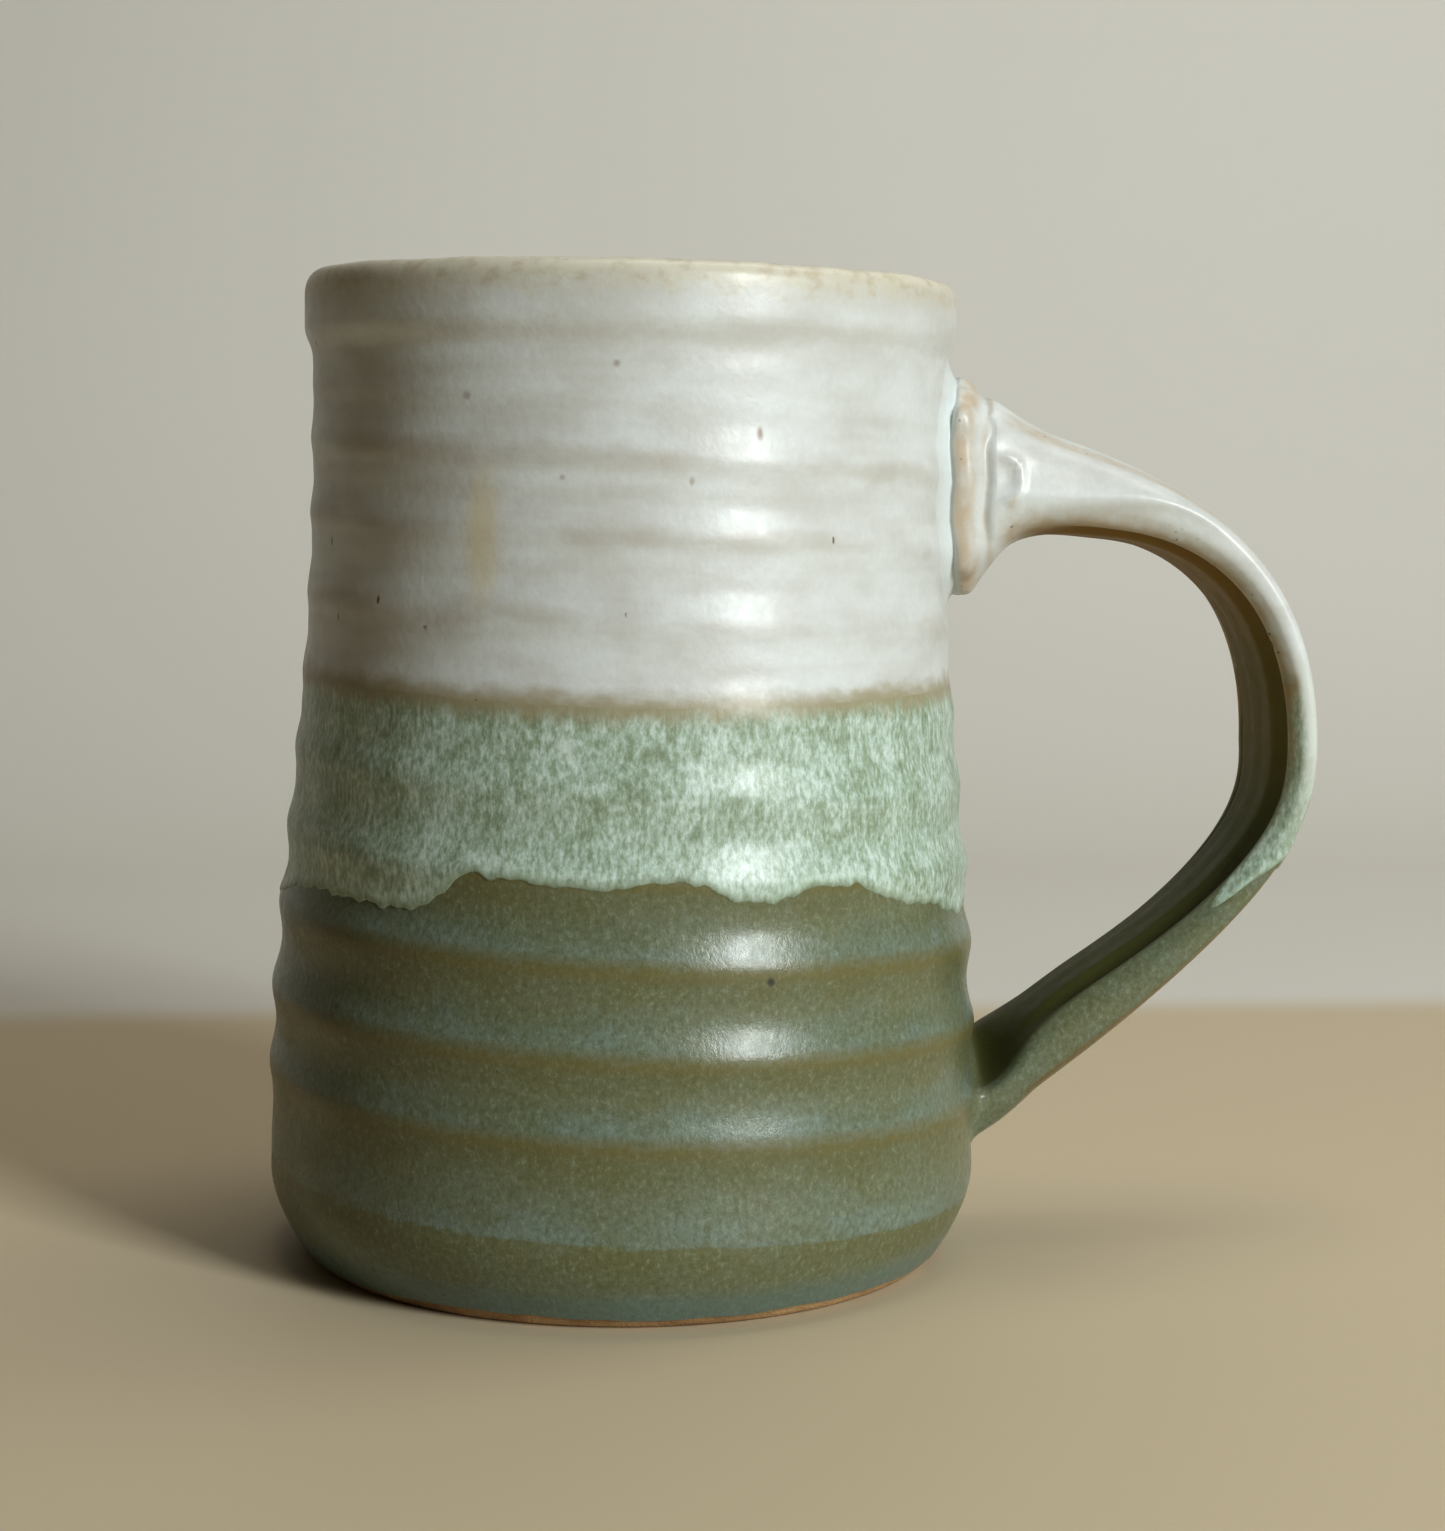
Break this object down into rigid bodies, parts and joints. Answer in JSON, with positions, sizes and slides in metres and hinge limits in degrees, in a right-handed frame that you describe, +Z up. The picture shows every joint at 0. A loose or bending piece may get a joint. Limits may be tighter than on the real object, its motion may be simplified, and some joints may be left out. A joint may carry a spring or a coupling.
{
  "type": "ceramic mug",
  "caption": "Hand-thrown stoneware mug: a ringed, tapering cup with a pulled strap handle, white glaze over grey-green glaze and a mottled band between.",
  "frame": {"origin": "on the axis of the cup, in the plane of the foot ring that rests on the table", "axes": "+Z up along the cup's axis, +X towards the handle, +Y to the far side when the handle is on the viewer's right"},
  "size_m": [0.1349, 0.0922, 0.125],
  "materials": {
    "bare_clay": "matt, unglazed, fired orange-brown stoneware",
    "white_glaze": "satin-gloss white, breaking to tan where it is thin",
    "mottled_glaze": "satin-gloss, streaky mint on grey-green",
    "green_glaze": "satin-gloss grey-green, teal on the ridges and olive in the grooves"
  },
  "bodies": {
    "root": {"thrown_body": "bare_clay", "handle_strap": "bare_clay", "upper_join_collar": "white_glaze", "lower_join_collar": "green_glaze", "inside_glaze": "white_glaze", "upper_white_glaze": "white_glaze", "overlap_glaze": "mottled_glaze", "lower_green_glaze": "green_glaze", "handle_white_glaze": "white_glaze", "handle_overlap_glaze": "mottled_glaze", "handle_green_glaze": "green_glaze"}
  },
  "joints": []
}
